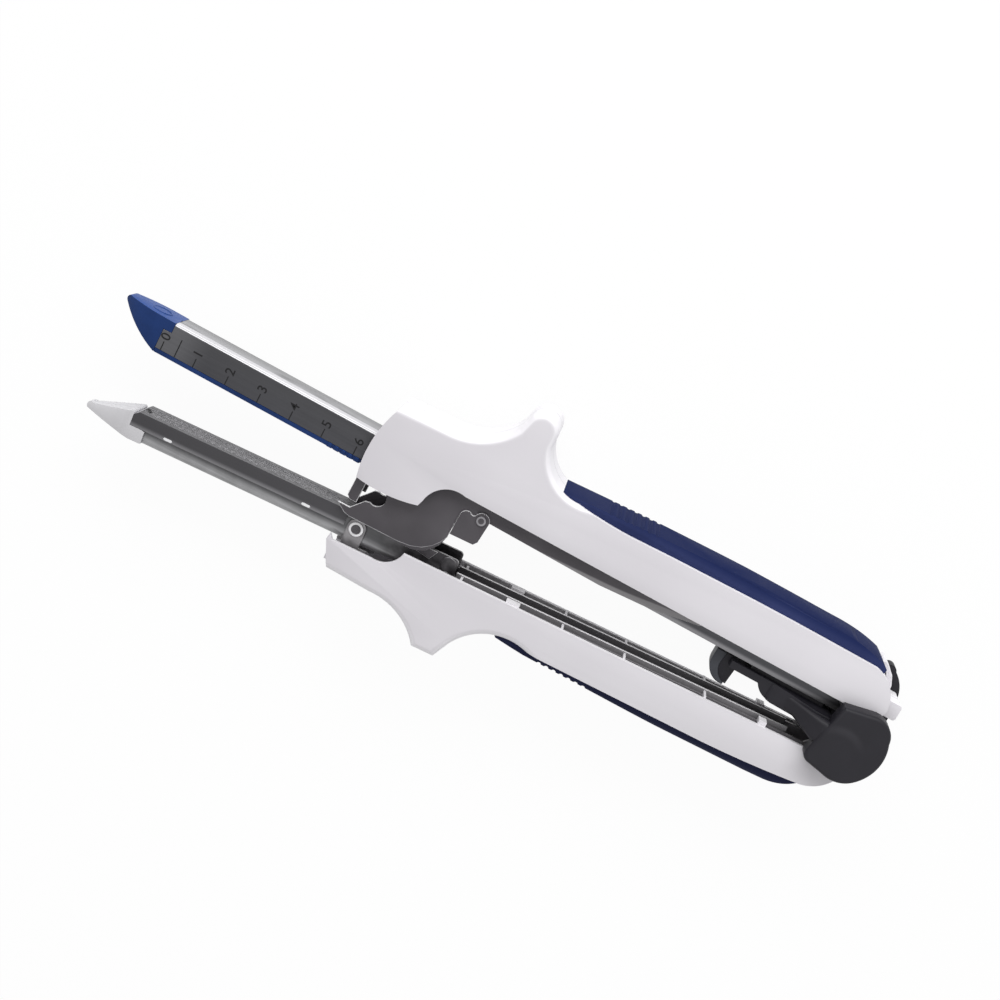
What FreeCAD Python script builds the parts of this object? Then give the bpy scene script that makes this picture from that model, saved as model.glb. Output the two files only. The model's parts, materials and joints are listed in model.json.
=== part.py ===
import FreeCAD, Part
import math
import os

os.makedirs("parts", exist_ok=True)

# Working frame in millimetres: X from the jaw tip to the rear, Y towards the back of the
# cartridge half, Z across the stapler. Zero X is the ruler's zero, zero Y the staple face.

# Cartridge channel
channel_half_width = 6.2
channel_wall = 1.1
channel_back = 9.9
channel_side_edge = 1.3
channel_rear_edge = 3.1
channel_front = -1.6
channel_step_front = 0.9
channel_step_height = 6.9
channel_rear = 217.0
channel_bend = 1.2
step_x = 77.0

# Lever pivot and rear hinge
pivot_x = 72.0
pivot_y = 5.5
pivot_radius = 2.4
hinge_x = 214.0
hinge_y = -3.5
hinge_radius = 2.0
rest_opening = 3.6

# Clearances
running_gap = 0.05
slide_gap = 0.07
body_gap = 0.3

# Latch plates, outside the channel
plate_gap = 0.35
plate_inner = channel_half_width + plate_gap
plate_thickness = 1.2
stop_thickness = 0.95
stop_rivet_x = 99.6
stop_rivet_y = 2.8
lever_pin_radius = 1.6

# Casings, outside the latch plates
casing_gap = 1.25
casing_wall = 1.5
casing_edge_radius = 2.0
casing_inner_half = plate_inner + plate_thickness + casing_gap
casing_half_width = casing_inner_half + casing_wall
grip_inset = 1.7
grip_half_width = casing_half_width - grip_inset

# Anvil
anvil_face = -3.9
anvil_inset = 0.4
anvil_half_width = channel_half_width - anvil_inset
anvil_skirt = 8.4
anvil_cap = 1.6
anvil_lip = 0.5
anvil_channel_half = anvil_half_width - anvil_lip
anvil_channel_front = 2.0
anvil_channel_rear = 99.5
anvil_channel_bottom = -12.3
anvil_channel_wall = 1.0
anvil_channel_bend = 1.7
anvil_wall_top = anvil_face
boss_x = 97.0
boss_y = -6.2
boss_radius = 2.3
anvil_front = 0.4
anvil_rear = 66.0
latch_pin_x = 69.7
latch_pin_y = -8.0
latch_pin_radius = 2.1

# Rails of the anvil half
rail_outer_half = channel_half_width
rail_wall = 0.9
rail_spacing = 1.2
rail_top = -8.7
rail_bottom = -15.5
rail_front = 95.0
rail_inner_half = rail_outer_half - rail_wall - rail_spacing
rail_inner_front = 100.0
rail_inner_rear = 201.0
rail_inner_top = -7.5
front_rivet_x = 97.2
front_rivet_y = -9.65
front_rivet_radius = 0.9
rear_rivet_x = 204.5
rear_rivet_y = -12.4
rear_rivet_radius = 1.0

# Reload
reload_rear = 87.0
deck_inset = 0.1
deck_half_width = channel_half_width - deck_inset
core_wall = 0.5
core_half = channel_half_width - channel_wall - slide_gap
tunnel_half = core_half - core_wall
deck_thickness = 1.2
core_height = 4.4
pan_thickness = 0.5
pan_height = channel_back - channel_wall - body_gap - pan_thickness
slot_half = 0.5
slot_front = 0.5
row_offsets = (1.93, 3.25)
staple_count = 16
staple_pitch = 3.8
staple_front = 2.0
staple_length = 2.9
pocket_width = 0.7

# Knife sled and firing slide
sled_front = 60.0
sled_rear = 72.0
push_bar_inner = 1.3
push_bar_outer = 2.4
hook_half_width = rail_inner_half - rail_wall - body_gap
arm_overhang = 1.4
arm_half_width = channel_half_width + arm_overhang
pad_gap = 0.7
pad_thickness = 5.3
pad_inner = casing_half_width + pad_gap
pad_outer = pad_inner + pad_thickness


def point(x, y, z=0.0):
    return FreeCAD.Vector(x, y, z)


def outline(start, *steps):
    # A step of two numbers is a straight line, one of four an arc through its first point.
    edges = []
    here = point(*start)
    for step in steps:
        end = point(step[-2], step[-1])
        if len(step) == 4:
            edges.append(Part.Arc(here, point(step[0], step[1]), end).toShape())
        else:
            edges.append(Part.LineSegment(here, end).toShape())
        here = end
    first = point(*start)
    if here.distanceToPoint(first) > 1e-6:
        edges.append(Part.LineSegment(here, first).toShape())
    return Part.Wire(edges)


def slab(wire, low, high):
    face = Part.Face(wire)
    face.translate(point(0, 0, low))
    return face.extrude(point(0, 0, high - low))


def plan_slab(wire, low, high):
    # The wire's second number is read as Z and the slab is raised along Y.
    face = Part.Face(wire)
    face.rotate(point(0, 0), point(1, 0), 90)
    face.translate(point(0, low, 0))
    return face.extrude(point(0, high - low, 0))


def box(x_low, x_high, y_low, y_high, z_low, z_high):
    corner = point(x_low, y_low, z_low)
    return Part.makeBox(x_high - x_low, y_high - y_low, z_high - z_low, corner)


def disc(x, y, radius, z_low, z_high):
    return Part.makeCylinder(radius, z_high - z_low, point(x, y, z_low), point(0, 0, 1))


def mirrored(shape):
    return shape.mirror(point(0, 0, 0), point(0, 0, 1))


def pair(shape):
    return [shape, mirrored(shape)]


def joined(shapes):
    whole = shapes[0].multiFuse(shapes[1:])
    return whole.removeSplitter()


def softened(shape, radius, chosen):
    edges = [edge for edge in shape.Edges if chosen(edge)]
    return shape.makeFillet(radius, edges)


def rounded_section(half_width, base, back, corner):
    # A cross-section in Y and Z with rounded back corners, run along the whole handle.
    inset = half_width - corner
    level = back - corner if back > base else back + corner
    bend = 0.7071 * corner
    bulge = level + bend if back > base else level - bend
    wire = outline((half_width, base), (half_width, level), (inset + bend, bulge, inset, back),
                   (-inset, back), (-inset - bend, bulge, -half_width, level), (-half_width, base))
    face = Part.Face(wire)
    face.rotate(point(0, 0), point(0, 1, 0), 90)
    face.translate(point(90, 0, 0))
    return face.extrude(point(140, 0, 0))


def lengthwise(edge):
    box_of = edge.BoundBox
    return box_of.XLength > 5 and box_of.YLength < 0.01 and box_of.ZLength < 0.01


def stud(x, y, radius, head_radius, low, high, head):
    shaft = disc(x, y, radius, low, high)
    cap = disc(x, y, head_radius, high, high + head)
    return shaft.fuse(cap).removeSplitter()


# Cartridge half
def cartridge_channel():
    outer = box(channel_front, channel_rear, channel_side_edge, channel_back,
                -channel_half_width, channel_half_width)
    outer = softened(outer, channel_bend,
                     lambda edge: lengthwise(edge) and edge.BoundBox.YMin > channel_back - 0.1)
    inner_half = channel_half_width - channel_wall
    inner_top = channel_back - channel_wall
    cuts = [box(channel_front - 1, channel_rear + 1, -5, inner_top, -inner_half, inner_half)]
    cuts.append(box(channel_front - 1, channel_step_front, channel_step_height, 20, -20, 20))
    cuts.append(box(step_x, channel_rear + 1, -5, channel_rear_edge, -20, 20))
    cuts.append(disc(pivot_x, pivot_y, pivot_radius, -20, 20))
    for x in (210.5, 215.0):
        cuts.append(disc(x, 6.4, 0.9, -20, 20))
    return outer.cut(Part.makeCompound(cuts))


def guide_leg():
    shape = outline((63.8, 5.0), (63.8, -9.0), (64.8, -9.9), (66.9, -9.9), (66.9, 5.0))
    leg = slab(shape, channel_half_width, channel_half_width + 1.0)
    return leg


def latch_pivot_studs():
    low = channel_half_width - channel_wall
    high = plate_inner + plate_thickness + 0.1
    one = stud(pivot_x, pivot_y, pivot_radius, pivot_radius + 0.9, low, high, 0.5)
    return Part.makeCompound(pair(one))


def rear_hinge_block():
    half = channel_half_width - channel_wall
    top = channel_back - channel_wall
    shape = outline((208.6, top), (208.6, channel_rear_edge), (210.0, hinge_y),
                    (hinge_x, hinge_y - 4.0, hinge_x + 3.6, hinge_y), (216.8, channel_rear_edge),
                    (216.8, top))
    block = slab(shape, -half, half)
    cuts = [disc(hinge_x, hinge_y, hinge_radius + running_gap, -20, 20)]
    for x in (210.5, 215.0):
        cuts.append(disc(x, 6.4, 0.9, -20, 20))
    return block.cut(Part.makeCompound(cuts))


def hinge_block_rivets():
    rivets = []
    for x in (210.5, 215.0):
        shaft = disc(x, 6.4, 0.9, -channel_half_width, channel_half_width)
        heads = pair(disc(x, 6.4, 1.5, channel_half_width, channel_half_width + 0.5))
        rivets.append(joined([shaft] + heads))
    return Part.makeCompound(rivets)


def reload_detent_spring():
    low = channel_back - channel_wall - 0.25
    strip = box(92.0, 112.0, low, channel_back - channel_wall, -1.2, 1.2)
    bump = box(90.0, 92.4, low - 0.6, channel_back - channel_wall, -1.2, 1.2)
    return strip.fuse(bump).removeSplitter()


# Latching lever
def upper_casing():
    side = outline((64.0, -2.6), (73.5, -3.0, 82.4, -1.4), (83.0, 0.4), (85.6, 5.3, 92.7, 7.1),
                   (216.6, 7.1), (219.8, 9.0, 219.9, 12.6), (217.3, 17.2, 212.0, 20.0),
                   (178.0, 20.1, 137.0, 19.1), (126.1, 19.5, 120.3, 20.1), (110.6, 23.8, 107.0, 29.9),
                   (106.9, 33.6), (102.8, 37.6, 98.0, 34.4), (96.9, 30.4), (90.5, 23.9, 80.0, 20.9),
                   (66.2, 20.2), (63.2, 8.5, 64.0, -2.6))
    shell = slab(side, -casing_half_width, casing_half_width)

    def rim(edge):
        bounds = edge.BoundBox
        flat = bounds.ZLength < 0.01
        middle = bounds.Center
        return flat and middle.y > 18.0 and middle.x < 122.0 and middle.x > 64.5
    shell = softened(shell, casing_edge_radius, rim)
    hollow = outline((60.0, -10.0), (60.0, 17.4), (80.0, 18.6), (90.0, 21.0, 98.0, 28.0),
                     (99.4, 34.0), (104.6, 34.0), (104.9, 28.5), (107.6, 21.6, 116.0, 17.4),
                     (212.0, 17.4), (216.6, 14.8, 218.2, 10.6), (218.2, -10.0))
    shell = shell.cut(slab(hollow, -casing_inner_half, casing_inner_half))
    tab = box(218.0, 224.6, 8.2, 12.8, -6.0, 6.0)
    tab = softened(tab, 0.8, lambda edge: edge.BoundBox.ZLength > 5 and edge.BoundBox.XMin > 224.5)
    shell = shell.fuse(tab).removeSplitter()
    holes = []
    for x, y in lever_pins:
        holes.append(disc(x, y, lever_pin_radius, -casing_inner_half - 1.0, casing_inner_half + 1.0))
    return shell.cut(Part.makeCompound(holes))


lever_pins = ((86.0, 13.2), (120.0, 13.2), (155.0, 13.0))


def upper_grip():
    side = outline((108.0, 18.0), (110.0, 20.6), (124.0, 21.4, 140.0, 22.4), (174.0, 23.8),
                   (197.0, 23.5), (208.0, 22.7, 213.4, 21.4), (214.8, 20.4), (214.4, 18.0))
    grip = slab(side, -grip_half_width, grip_half_width)
    grip = grip.common(rounded_section(grip_half_width, 15.0, 23.8, 3.2))
    notches = []
    for index in range(7):
        x = 129.5 + 2.3 * index
        notches.append(Part.makeCylinder(0.7, 40, point(x, 22.2 + 0.05 * (x - 129.5), -20)))
    return grip.cut(Part.makeCompound(notches)).cut(upper_casing_fill)


def latch_plate():
    side = outline((62.4, -11.9), (65.2, -13.7), (67.0, -14.1), (82.0, -13.7),
                   (90.6, -11.6, 93.4, -6.0), (93.4, 0.8), (101.4, 0.8),
                   (102.0, 3.0), (136.0, 2.6), (151.4, 3.6), (165.5, 6.1), (165.5, 15.4), (72.0, 15.4),
                   (67.6, 12.0), (69.5, 2.0), (73.1, -3.6), (73.6, -7.2, 70.4, -8.0),
                   (69.0, -8.3), (66.0, -11.9))
    plate = slab(side, plate_inner, plate_inner + plate_thickness)
    cuts = [disc(pivot_x, pivot_y, pivot_radius + running_gap, 0, 20)]
    cuts.append(disc(stop_rivet_x, stop_rivet_y, 1.0, 0, 20))
    for x, y in lever_pins:
        cuts.append(disc(x, y, lever_pin_radius, 0, 20))
    return plate.cut(Part.makeCompound(cuts))


def stop_plate():
    low = plate_inner + plate_thickness
    side = outline((93.6, -4.6), (100.6, -4.2), (101.5, -3.0), (101.9, 2.6),
                   (101.3, 4.3, 99.6, 5.0), (98.2, 4.4, 97.6, 3.4), (96.8, 3.0, 96.0, 3.5),
                   (94.4, 3.2, 93.6, 1.4))
    plate = slab(side, low, low + stop_thickness)
    return plate.cut(disc(stop_rivet_x, stop_rivet_y, 1.0, 0, 20))


def stop_plate_rivets():
    top = plate_inner + plate_thickness + stop_thickness
    one = stud(stop_rivet_x, stop_rivet_y, 1.0, 1.5, plate_inner, top, 0.3)
    return Part.makeCompound(pair(one))


def lever_cross_pins():
    pins = []
    half = casing_inner_half + 1.0
    for x, y in lever_pins:
        pins.append(disc(x, y, lever_pin_radius, -half, half))
    return Part.makeCompound(pins)


# Anvil half, drawn closed and turned open by the rest angle at the end
def anvil_channel_form(inset, overrun):
    # The channel's rounded U as a solid, its walls moved in by the inset.
    half = anvil_channel_half - inset
    bottom = anvil_channel_bottom + inset
    form = box(anvil_channel_front - overrun, anvil_channel_rear + overrun, bottom,
               anvil_face - anvil_cap + 2 * overrun, -half, half)
    return softened(form, anvil_channel_bend - inset,
                    lambda edge: lengthwise(edge) and edge.BoundBox.YMax < bottom + 0.1)


def anvil_channel():
    cuts = [anvil_channel_form(anvil_channel_wall, 1.5)]
    cuts.append(disc(latch_pin_x, latch_pin_y, latch_pin_radius, -20, 20))
    cuts.append(disc(front_rivet_x, front_rivet_y, front_rivet_radius, -20, 20))
    channel = anvil_channel_form(0, 0).cut(cuts[0])
    # Behind the anvil plate the side walls stand as high as the plate and carry a pressed boss.
    wall = slab(outline((67.4, -6.2), (69.0, anvil_wall_top), (98.3, anvil_wall_top),
                        (99.15, -4.25, anvil_channel_rear, -5.1), (anvil_channel_rear, -6.2)),
                anvil_channel_half - anvil_channel_wall, anvil_channel_half)
    boss = disc(boss_x, boss_y, boss_radius, anvil_channel_half, anvil_channel_half + 0.45)
    boss = softened(boss, 0.3, lambda edge: edge.BoundBox.ZMin > anvil_channel_half + 0.4)
    return joined([channel] + pair(wall) + pair(boss)).cut(Part.makeCompound(cuts[1:]))


def anvil_plate():
    bottom = -anvil_skirt
    cap = box(anvil_front, anvil_rear, bottom, anvil_face, -anvil_half_width, anvil_half_width)
    under = box(anvil_front - 1, anvil_rear + 1, bottom - 1, anvil_face - anvil_cap,
                -anvil_channel_half, anvil_channel_half)
    nose = slab(outline((anvil_front - 1, anvil_face + 1), (anvil_front + 2.6, anvil_face + 1),
                        (anvil_front - 1, anvil_face - 2.0)), -20, 20)
    cuts = [under, nose, box(4.0, anvil_rear + 1, -20, 0, -slot_half, slot_half)]
    for x, z, length in staple_places():
        low = anvil_face - 0.4
        cuts.append(box(x - 0.1, x + length + 0.1, low, 0, z - 0.45, z + 0.45))
    return cap.cut(Part.makeCompound(cuts))


def staple_places():
    places = []
    for row, offset in enumerate(row_offsets):
        for index in range(staple_count):
            x = staple_front + staple_pitch * index
            if row == 1:
                x -= 0.5 * staple_pitch
            if x > 0.6:
                places.append((x, offset, staple_length))
                places.append((x, -offset, staple_length))
    return places


def anvil_tip():
    side = outline((anvil_front, -4.6), (0.0, -4.3), (-12.2, -8.2), (-13.8, -8.7, -13.7, -10.2),
                   (-2.0, -11.8), (1.0, anvil_channel_bottom), (5.0, anvil_channel_bottom),
                   (5.0, -anvil_skirt - 0.25),
                   (4.0, -anvil_skirt - 0.05), (anvil_front, -anvil_skirt - 0.05))
    body = slab(side, -anvil_half_width, anvil_half_width)
    plan = outline((6.0, -anvil_half_width), (6.0, anvil_half_width), (-1.0, anvil_half_width),
                   (-10.0, 3.0, -14.6, 1.0), (-14.6, -1.0), (-10.0, -3.0, -1.0, -anvil_half_width))
    tip = body.common(plan_slab(plan, -20, 0))
    return tip.cut(anvil_channel_form(0, 0))


def latch_cross_pin():
    half = plate_inner - body_gap
    pin = disc(latch_pin_x, latch_pin_y, latch_pin_radius, -half, half)
    dimples = [disc(latch_pin_x, latch_pin_y, 1.3, half - 0.3, half + 1)]
    dimples.append(disc(latch_pin_x, latch_pin_y, 1.3, -half - 1, -half + 0.3))
    return pin.cut(Part.makeCompound(dimples))


def pin_bracket():
    side = outline((67.0, -13.0), (67.0, latch_pin_y + 0.4),
                   (latch_pin_x, latch_pin_y + 3.0, 72.4, latch_pin_y + 0.4), (72.4, -12.6),
                   (75.0, -12.6), (75.0, -14.4), (67.0, -14.4))
    bracket = slab(side, anvil_channel_half, plate_inner - body_gap - 0.25)
    foot = box(64.5, 76.0, -16.0, -14.4, anvil_channel_half, plate_inner - body_gap - 0.25)
    bracket = bracket.fuse(foot).removeSplitter()
    return bracket.cut(disc(latch_pin_x, latch_pin_y, latch_pin_radius, -20, 20))


def lower_casing():
    side = outline((63.6, -12.6), (64.0, -10.6), (65.2, -12.3), (77.0, -12.4),
                   (82.2, -11.2, 84.7, -7.3), (206.0, -8.7), (216.5, -9.0),
                   (218.2, -9.6, 218.6, -11.5), (216.2, -15.4, 209.4, -18.8),
                   (192.0, -19.6, 175.0, -19.5), (126.0, -18.1), (111.0, -20.4, 106.0, -26.0),
                   (103.6, -30.8), (96.9, -30.8),
                   (90.4, -24.4, 80.0, -21.7), (66.8, -20.6))
    shell = slab(side, -casing_half_width, casing_half_width)

    def rim(edge):
        bounds = edge.BoundBox
        middle = bounds.Center
        return bounds.ZLength < 0.01 and middle.y < -19.0 and middle.x < 121.0 and middle.x > 68.0
    shell = softened(shell, casing_edge_radius, rim)
    hollow = outline((60.0, 0.0), (60.0, -18.8), (78.0, -19.2), (90.0, -21.8, 97.6, -28.0),
                     (102.2, -28.0), (108.0, -20.4, 118.0, rail_bottom), (212.4, rail_bottom),
                     (215.3, -13.4), (217.95, -9.4), (217.95, 0.0))
    shell = shell.cut(slab(hollow, -casing_inner_half, casing_inner_half))
    ribs = []
    for x in rib_places:
        rib = box(x, x + 0.7, rail_bottom - 0.2, rail_inner_top - 0.4, rail_outer_half, casing_inner_half + 0.3)
        brow = box(x, x + 0.7, rail_top, rail_inner_top - 0.4, rail_inner_half, rail_outer_half + 0.1)
        ribs += pair(rib) + pair(brow)
    for x, length in ledges:
        ledge = box(x, x + length, rail_top, rail_inner_top + 0.2, rail_outer_half - 0.5, casing_inner_half + 0.3)
        ribs += pair(ledge)
    foot = box(64.6, 76.0, -19.4, -16.0, anvil_channel_half, plate_inner - body_gap - 0.25)
    front_rib = box(66.0, 67.0, -19.4, -17.4, -casing_inner_half - 0.3, casing_inner_half + 0.3)
    ribs += pair(foot)
    ribs.append(front_rib)
    return joined([shell] + ribs)


rib_places = (101.6, 132.4, 151.2, 175.6)
ledges = ((115.6, 4.0), (192.0, 2.3))


def lower_grip():
    side = outline((114.0, -17.0), (117.0, -20.3), (130.0, -21.3, 144.0, -21.9), (168.0, -23.0),
                   (194.0, -23.1), (204.0, -22.2, 209.4, -19.2), (209.0, -15.0))
    grip = slab(side, -grip_half_width, grip_half_width)
    grip = grip.common(rounded_section(grip_half_width, -13.0, -23.3, 3.2))
    notches = []
    for index in range(7):
        x = 131.0 + 2.3 * index
        notches.append(Part.makeCylinder(0.7, 40, point(x, -21.6 - 0.045 * (x - 131.0), -20)))
    return grip.cut(Part.makeCompound(notches)).cut(lower_casing_fill)


def rail_outer():
    ear_radius = 4.0
    side = outline((rail_front, rail_bottom), (rail_front, -9.4), (95.8, rail_top),
                   (206.0, rail_top), (209.6, hinge_y - 2.0),
                   (hinge_x, hinge_y + ear_radius, 217.9, hinge_y - 1.0), (217.9, -9.4),
                   (215.2, -13.4), (212.3, rail_bottom))
    walls = slab(side, -rail_outer_half, rail_outer_half)
    inner = rail_outer_half - rail_wall
    cuts = [slab(outline((90.0, rail_bottom + rail_wall), (90.0, 5.0), (230.0, 5.0),
                         (230.0, rail_bottom + rail_wall)), -inner, inner)]
    cuts.append(disc(hinge_x, hinge_y, hinge_radius, -20, 20))
    cuts.append(disc(front_rivet_x, front_rivet_y, front_rivet_radius, -20, 20))
    cuts.append(disc(rear_rivet_x, rear_rivet_y, rear_rivet_radius, -20, 20))
    return walls.cut(Part.makeCompound(cuts))


def rail_inner():
    low = rail_bottom + rail_wall
    outer = box(rail_inner_front, rail_inner_rear, low, rail_inner_top,
                -rail_inner_half, rail_inner_half)
    inner = box(rail_inner_front - 1, rail_inner_rear + 1, low + rail_wall, 0,
                -rail_inner_half + rail_wall, rail_inner_half - rail_wall)
    slots = []
    for x in (120.0, 160.0):
        slots.append(box(x, x + 12.0, low + 2.2, low + 3.6, -20, 20))
    return outer.cut(Part.makeCompound([inner] + slots))


def rail_front_block():
    inner = anvil_channel_half - anvil_channel_wall
    side = outline((94.0, -12.0), (94.0, -7.6), (98.2, -8.0, 99.4, -10.6), (99.4, -12.0))
    block = slab(side, -inner, inner).common(anvil_channel_form(anvil_channel_wall, 1.5))
    return block.cut(disc(front_rivet_x, front_rivet_y, front_rivet_radius, -20, 20))


def rail_rivets():
    half = rail_outer_half
    rivets = []
    places = ((front_rivet_x, front_rivet_y, front_rivet_radius),
              (rear_rivet_x, rear_rivet_y, rear_rivet_radius))
    for x, y, radius in places:
        heads = pair(disc(x, y, radius + 0.8, half, half + 0.5))
        rivets.append(joined([disc(x, y, radius, -half, half)] + heads))
    return Part.makeCompound(rivets)


def rear_hinge_pin():
    shaft = disc(hinge_x, hinge_y, hinge_radius, -rail_outer_half, rail_outer_half)
    heads = pair(disc(hinge_x, hinge_y, hinge_radius + 0.9, rail_outer_half, rail_outer_half + 0.7))
    return joined([shaft] + heads)


# Firing slide
def firing_bridge():
    hook = slab(outline((176.5, 1.9), (176.2, -1.0), (177.0, -4.2, 179.6, -6.1), (180.2, -6.1),
                        (180.6, -1.4), (184.0, -1.4), (184.0, 1.9)), -hook_half_width, hook_half_width)
    arm = slab(outline((178.0, 1.9), (178.0, -0.2), (187.0, -0.2), (189.2, -2.4, 192.4, -3.2),
                       (199.0, -2.7), (203.0, -4.4), (206.4, -5.5), (207.6, -5.5), (207.6, 1.9)),
               -arm_half_width, arm_half_width)
    runner = box(184.0, 206.0, 0.0, 7.6, -core_half, core_half)
    reach = pad_inner + 1.0
    beam = plan_slab(outline((191.0, -arm_half_width), (191.0, arm_half_width), (203.6, reach),
                             (208.4, reach), (208.4, -reach), (203.6, -reach)), -6.0, 1.9)
    under = slab(outline((180.0, -10.0), (188.6, -2.9), (192.4, -3.4), (199.0, -2.9), (203.0, -4.6),
                         (206.4, -5.6), (208.4, -5.6), (212.0, -10.0)), -20, 20)
    beam = beam.cut(under)
    cuts = [box(180.0, 202.0, 4.6, 6.6, push_bar_inner, push_bar_outer)]
    cuts.append(box(180.0, 202.0, 4.6, 6.6, -push_bar_outer, -push_bar_inner))
    cuts.append(disc(196.0, 5.6, 0.6, -push_bar_outer - 1.0, push_bar_outer + 1.0))
    return joined([hook, arm, runner, beam]).cut(Part.makeCompound(cuts))


def hook_face():
    front = slab(outline((173.5, 1.9), (173.5, -1.4), (174.7, -4.8, 178.4, -6.8), (179.6, -6.8),
                         (179.6, -6.1), (177.0, -4.2, 176.2, -1.0), (176.5, 1.9)),
                 -hook_half_width, hook_half_width)
    return front


def knob_pad_near():
    side = outline((206.5, -4.0), (208.9, 7.6), (216.6, 9.2), (221.6, 8.4, 224.2, 4.2),
                   (224.9, -3.7, 220.8, -10.4), (217.6, -12.0, 213.0, -11.9), (207.6, -10.8),
                   (206.0, -9.5, 205.9, -7.6))
    return rounded_pad(side)


def knob_pad_far():
    side = outline((206.5, -4.0), (208.9, 8.4), (219.0, 16.9), (220.8, 18.2, 222.6, 16.9),
                   (225.6, 13.6, 226.9, 8.4), (226.6, -2.0, 220.4, -10.4),
                   (217.6, -12.0, 213.0, -11.9), (207.2, -10.8), (205.6, -9.6, 205.6, -7.6))
    return mirrored(rounded_pad(side))


def rounded_pad(side):
    pad = slab(side, pad_inner - 0.2, pad_outer)
    pad = softened(pad, 1.2, lambda edge: edge.BoundBox.ZMin > pad_outer - 0.01)
    return pad.cut(bridge_fill)


def push_bar():
    bar = box(reload_rear + body_gap, 202.0, 4.6, 6.6, push_bar_inner, push_bar_outer)
    return bar.cut(disc(196.0, 5.6, 0.6, 0, 20))


def push_bar_pins():
    return disc(196.0, 5.6, 0.6, -push_bar_outer - 1.0, push_bar_outer + 1.0)


# Reload
def cartridge_body():
    deck = box(channel_front, 62.6, 0.0, deck_thickness, -deck_half_width, deck_half_width)
    core = box(channel_front, reload_rear, 0.0, pan_height, -core_half, core_half)
    prow_side = outline((channel_step_front - 0.1, channel_back), (-14.0, channel_back + 0.2),
                        (-15.1, 9.7, -15.0, 8.4), (-8.8, 3.7, channel_front - 0.1, 0.0),
                        (channel_front - 0.1, channel_step_height + 0.1),
                        (channel_step_front - 0.1, channel_step_height + 0.1))
    half = channel_half_width
    prow_plan = outline((2.0, -half), (2.0, half), (-4.0, half), (-11.0, 4.6, -16.4, 1.4),
                        (-16.4, -1.4), (-11.0, -4.6, -4.0, -half))
    prow = slab(prow_side, -half, half).common(plan_slab(prow_plan, -5, 20))
    link = box(channel_front - 1.5, 4.0, 1.0, pan_height, -core_half, core_half)
    cap = box(0.0, 0.8, channel_step_height + 0.1, channel_back - channel_wall - 0.1, -core_half, core_half)
    serrations = []
    for index in range(5):
        x = 52.4 + 2.1 * index
        tooth = slab(outline((x, 0.0), (x + 1.6, 0.0), (x + 1.3, deck_thickness), (x + 0.3, deck_thickness)),
                     deck_half_width - 0.1, deck_half_width + 0.5)
        serrations += pair(tooth)
    whole = joined([deck, core, prow, link, cap] + serrations)
    cuts = [box(-1.0, reload_rear + 1, core_height, pan_height + 1, -tunnel_half, tunnel_half)]
    cuts.append(box(slot_front, 76.0, -1.0, 20.0, -slot_half, slot_half))
    cuts.append(box(62.6, 74.0, -1.0, 1.4, -2.8, 2.8))
    cuts.append(box(74.0, reload_rear + 1, -1.0, 20.0, -2.8, 2.8))
    for x, z, length in staple_places():
        cuts.append(box(x, x + length, -1.0, core_height + 0.5, z - pocket_width / 2, z + pocket_width / 2))
    for index in range(3):
        x = 64.0 + 1.8 * index
        cuts.append(box(x, x + 0.9, -1.0, 0.5, 3.3, 20))
        cuts.append(box(x, x + 0.9, -1.0, 0.5, -20, -3.3))
    return whole.cut(Part.makeCompound(cuts))


def cartridge_pan():
    web = box(1.0, 84.0, pan_height, pan_height + pan_thickness, -core_half, core_half)
    slot = box(6.0, 60.0, 0, 20, -0.5, 0.5)
    return web.cut(slot)


def staple_drivers():
    drivers = []
    half = pocket_width / 2 - 0.05
    for x, z, length in staple_places():
        drivers.append(box(x + 0.1, x + length - 0.1, 2.7, core_height, z - half, z + half))
    return Part.makeCompound(drivers)


def staples():
    wires = []
    half = 0.14
    for x, z, length in staple_places():
        low = 0.25
        crown = box(x + 0.05, x + length - 0.05, 2.42, 2.7, z - half, z + half)
        first = box(x + 0.05, x + 0.33, low, 2.42, z - half, z + half)
        last = box(x + length - 0.33, x + length - 0.05, low, 2.42, z - half, z + half)
        wires.append(joined([crown, first, last]))
    return Part.makeCompound(wires)


# Knife sled
def wedge_sled():
    low = core_height + body_gap
    top = pan_height - body_gap
    half = tunnel_half - body_gap
    head = box(sled_rear - 4.0, sled_rear, low, top, -half, half)
    spine = box(sled_front + 4.0, sled_rear - 3.9, low, top, -1.1, 1.1)
    nose = slab(outline((sled_front, low + 1.4), (sled_front + 4.0, low), (sled_front + 4.0, top),
                        (sled_front, top)), -0.8, 0.8)
    wedges = []
    for offset in row_offsets:
        for sign in (1, -1):
            middle = sign * offset
            wedge = slab(outline((sled_front + 1.0, top), (sled_rear - 3.8, top),
                                 (sled_rear - 3.8, low), (sled_front + 6.0, low)),
                         middle - 0.3, middle + 0.3)
            wedges.append(wedge)
    sled = joined([head, spine, nose] + wedges)
    cuts = [box(sled_rear - 5.6, sled_rear - 1.4, 0.0, low + 1.6, -0.3, 0.3)]
    for rod in pair(box(sled_rear - 2.0, sled_rear + 1, 5.1, 6.1, 1.4, 2.3)):
        cuts.append(rod)
    return sled.cut(Part.makeCompound(cuts))


def knife_blade():
    edge = outline((sled_rear - 5.6, -1.4), (sled_rear - 4.6, core_height + 1.9),
                   (sled_rear - 1.4, core_height + 1.9), (sled_rear - 1.4, 0.6),
                   (sled_rear - 3.4, -1.4))
    blade = slab(edge, -0.3, 0.3)
    keep = box(sled_rear - 5.6, sled_rear - 1.4, -3.0, core_height + body_gap + 1.6, -0.3, 0.3)
    return blade.common(keep)


def sled_push_rods():
    rod = box(sled_rear - 2.0, reload_rear, 5.1, 6.1, 1.4, 2.3)
    return Part.makeCompound(pair(rod))


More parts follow.
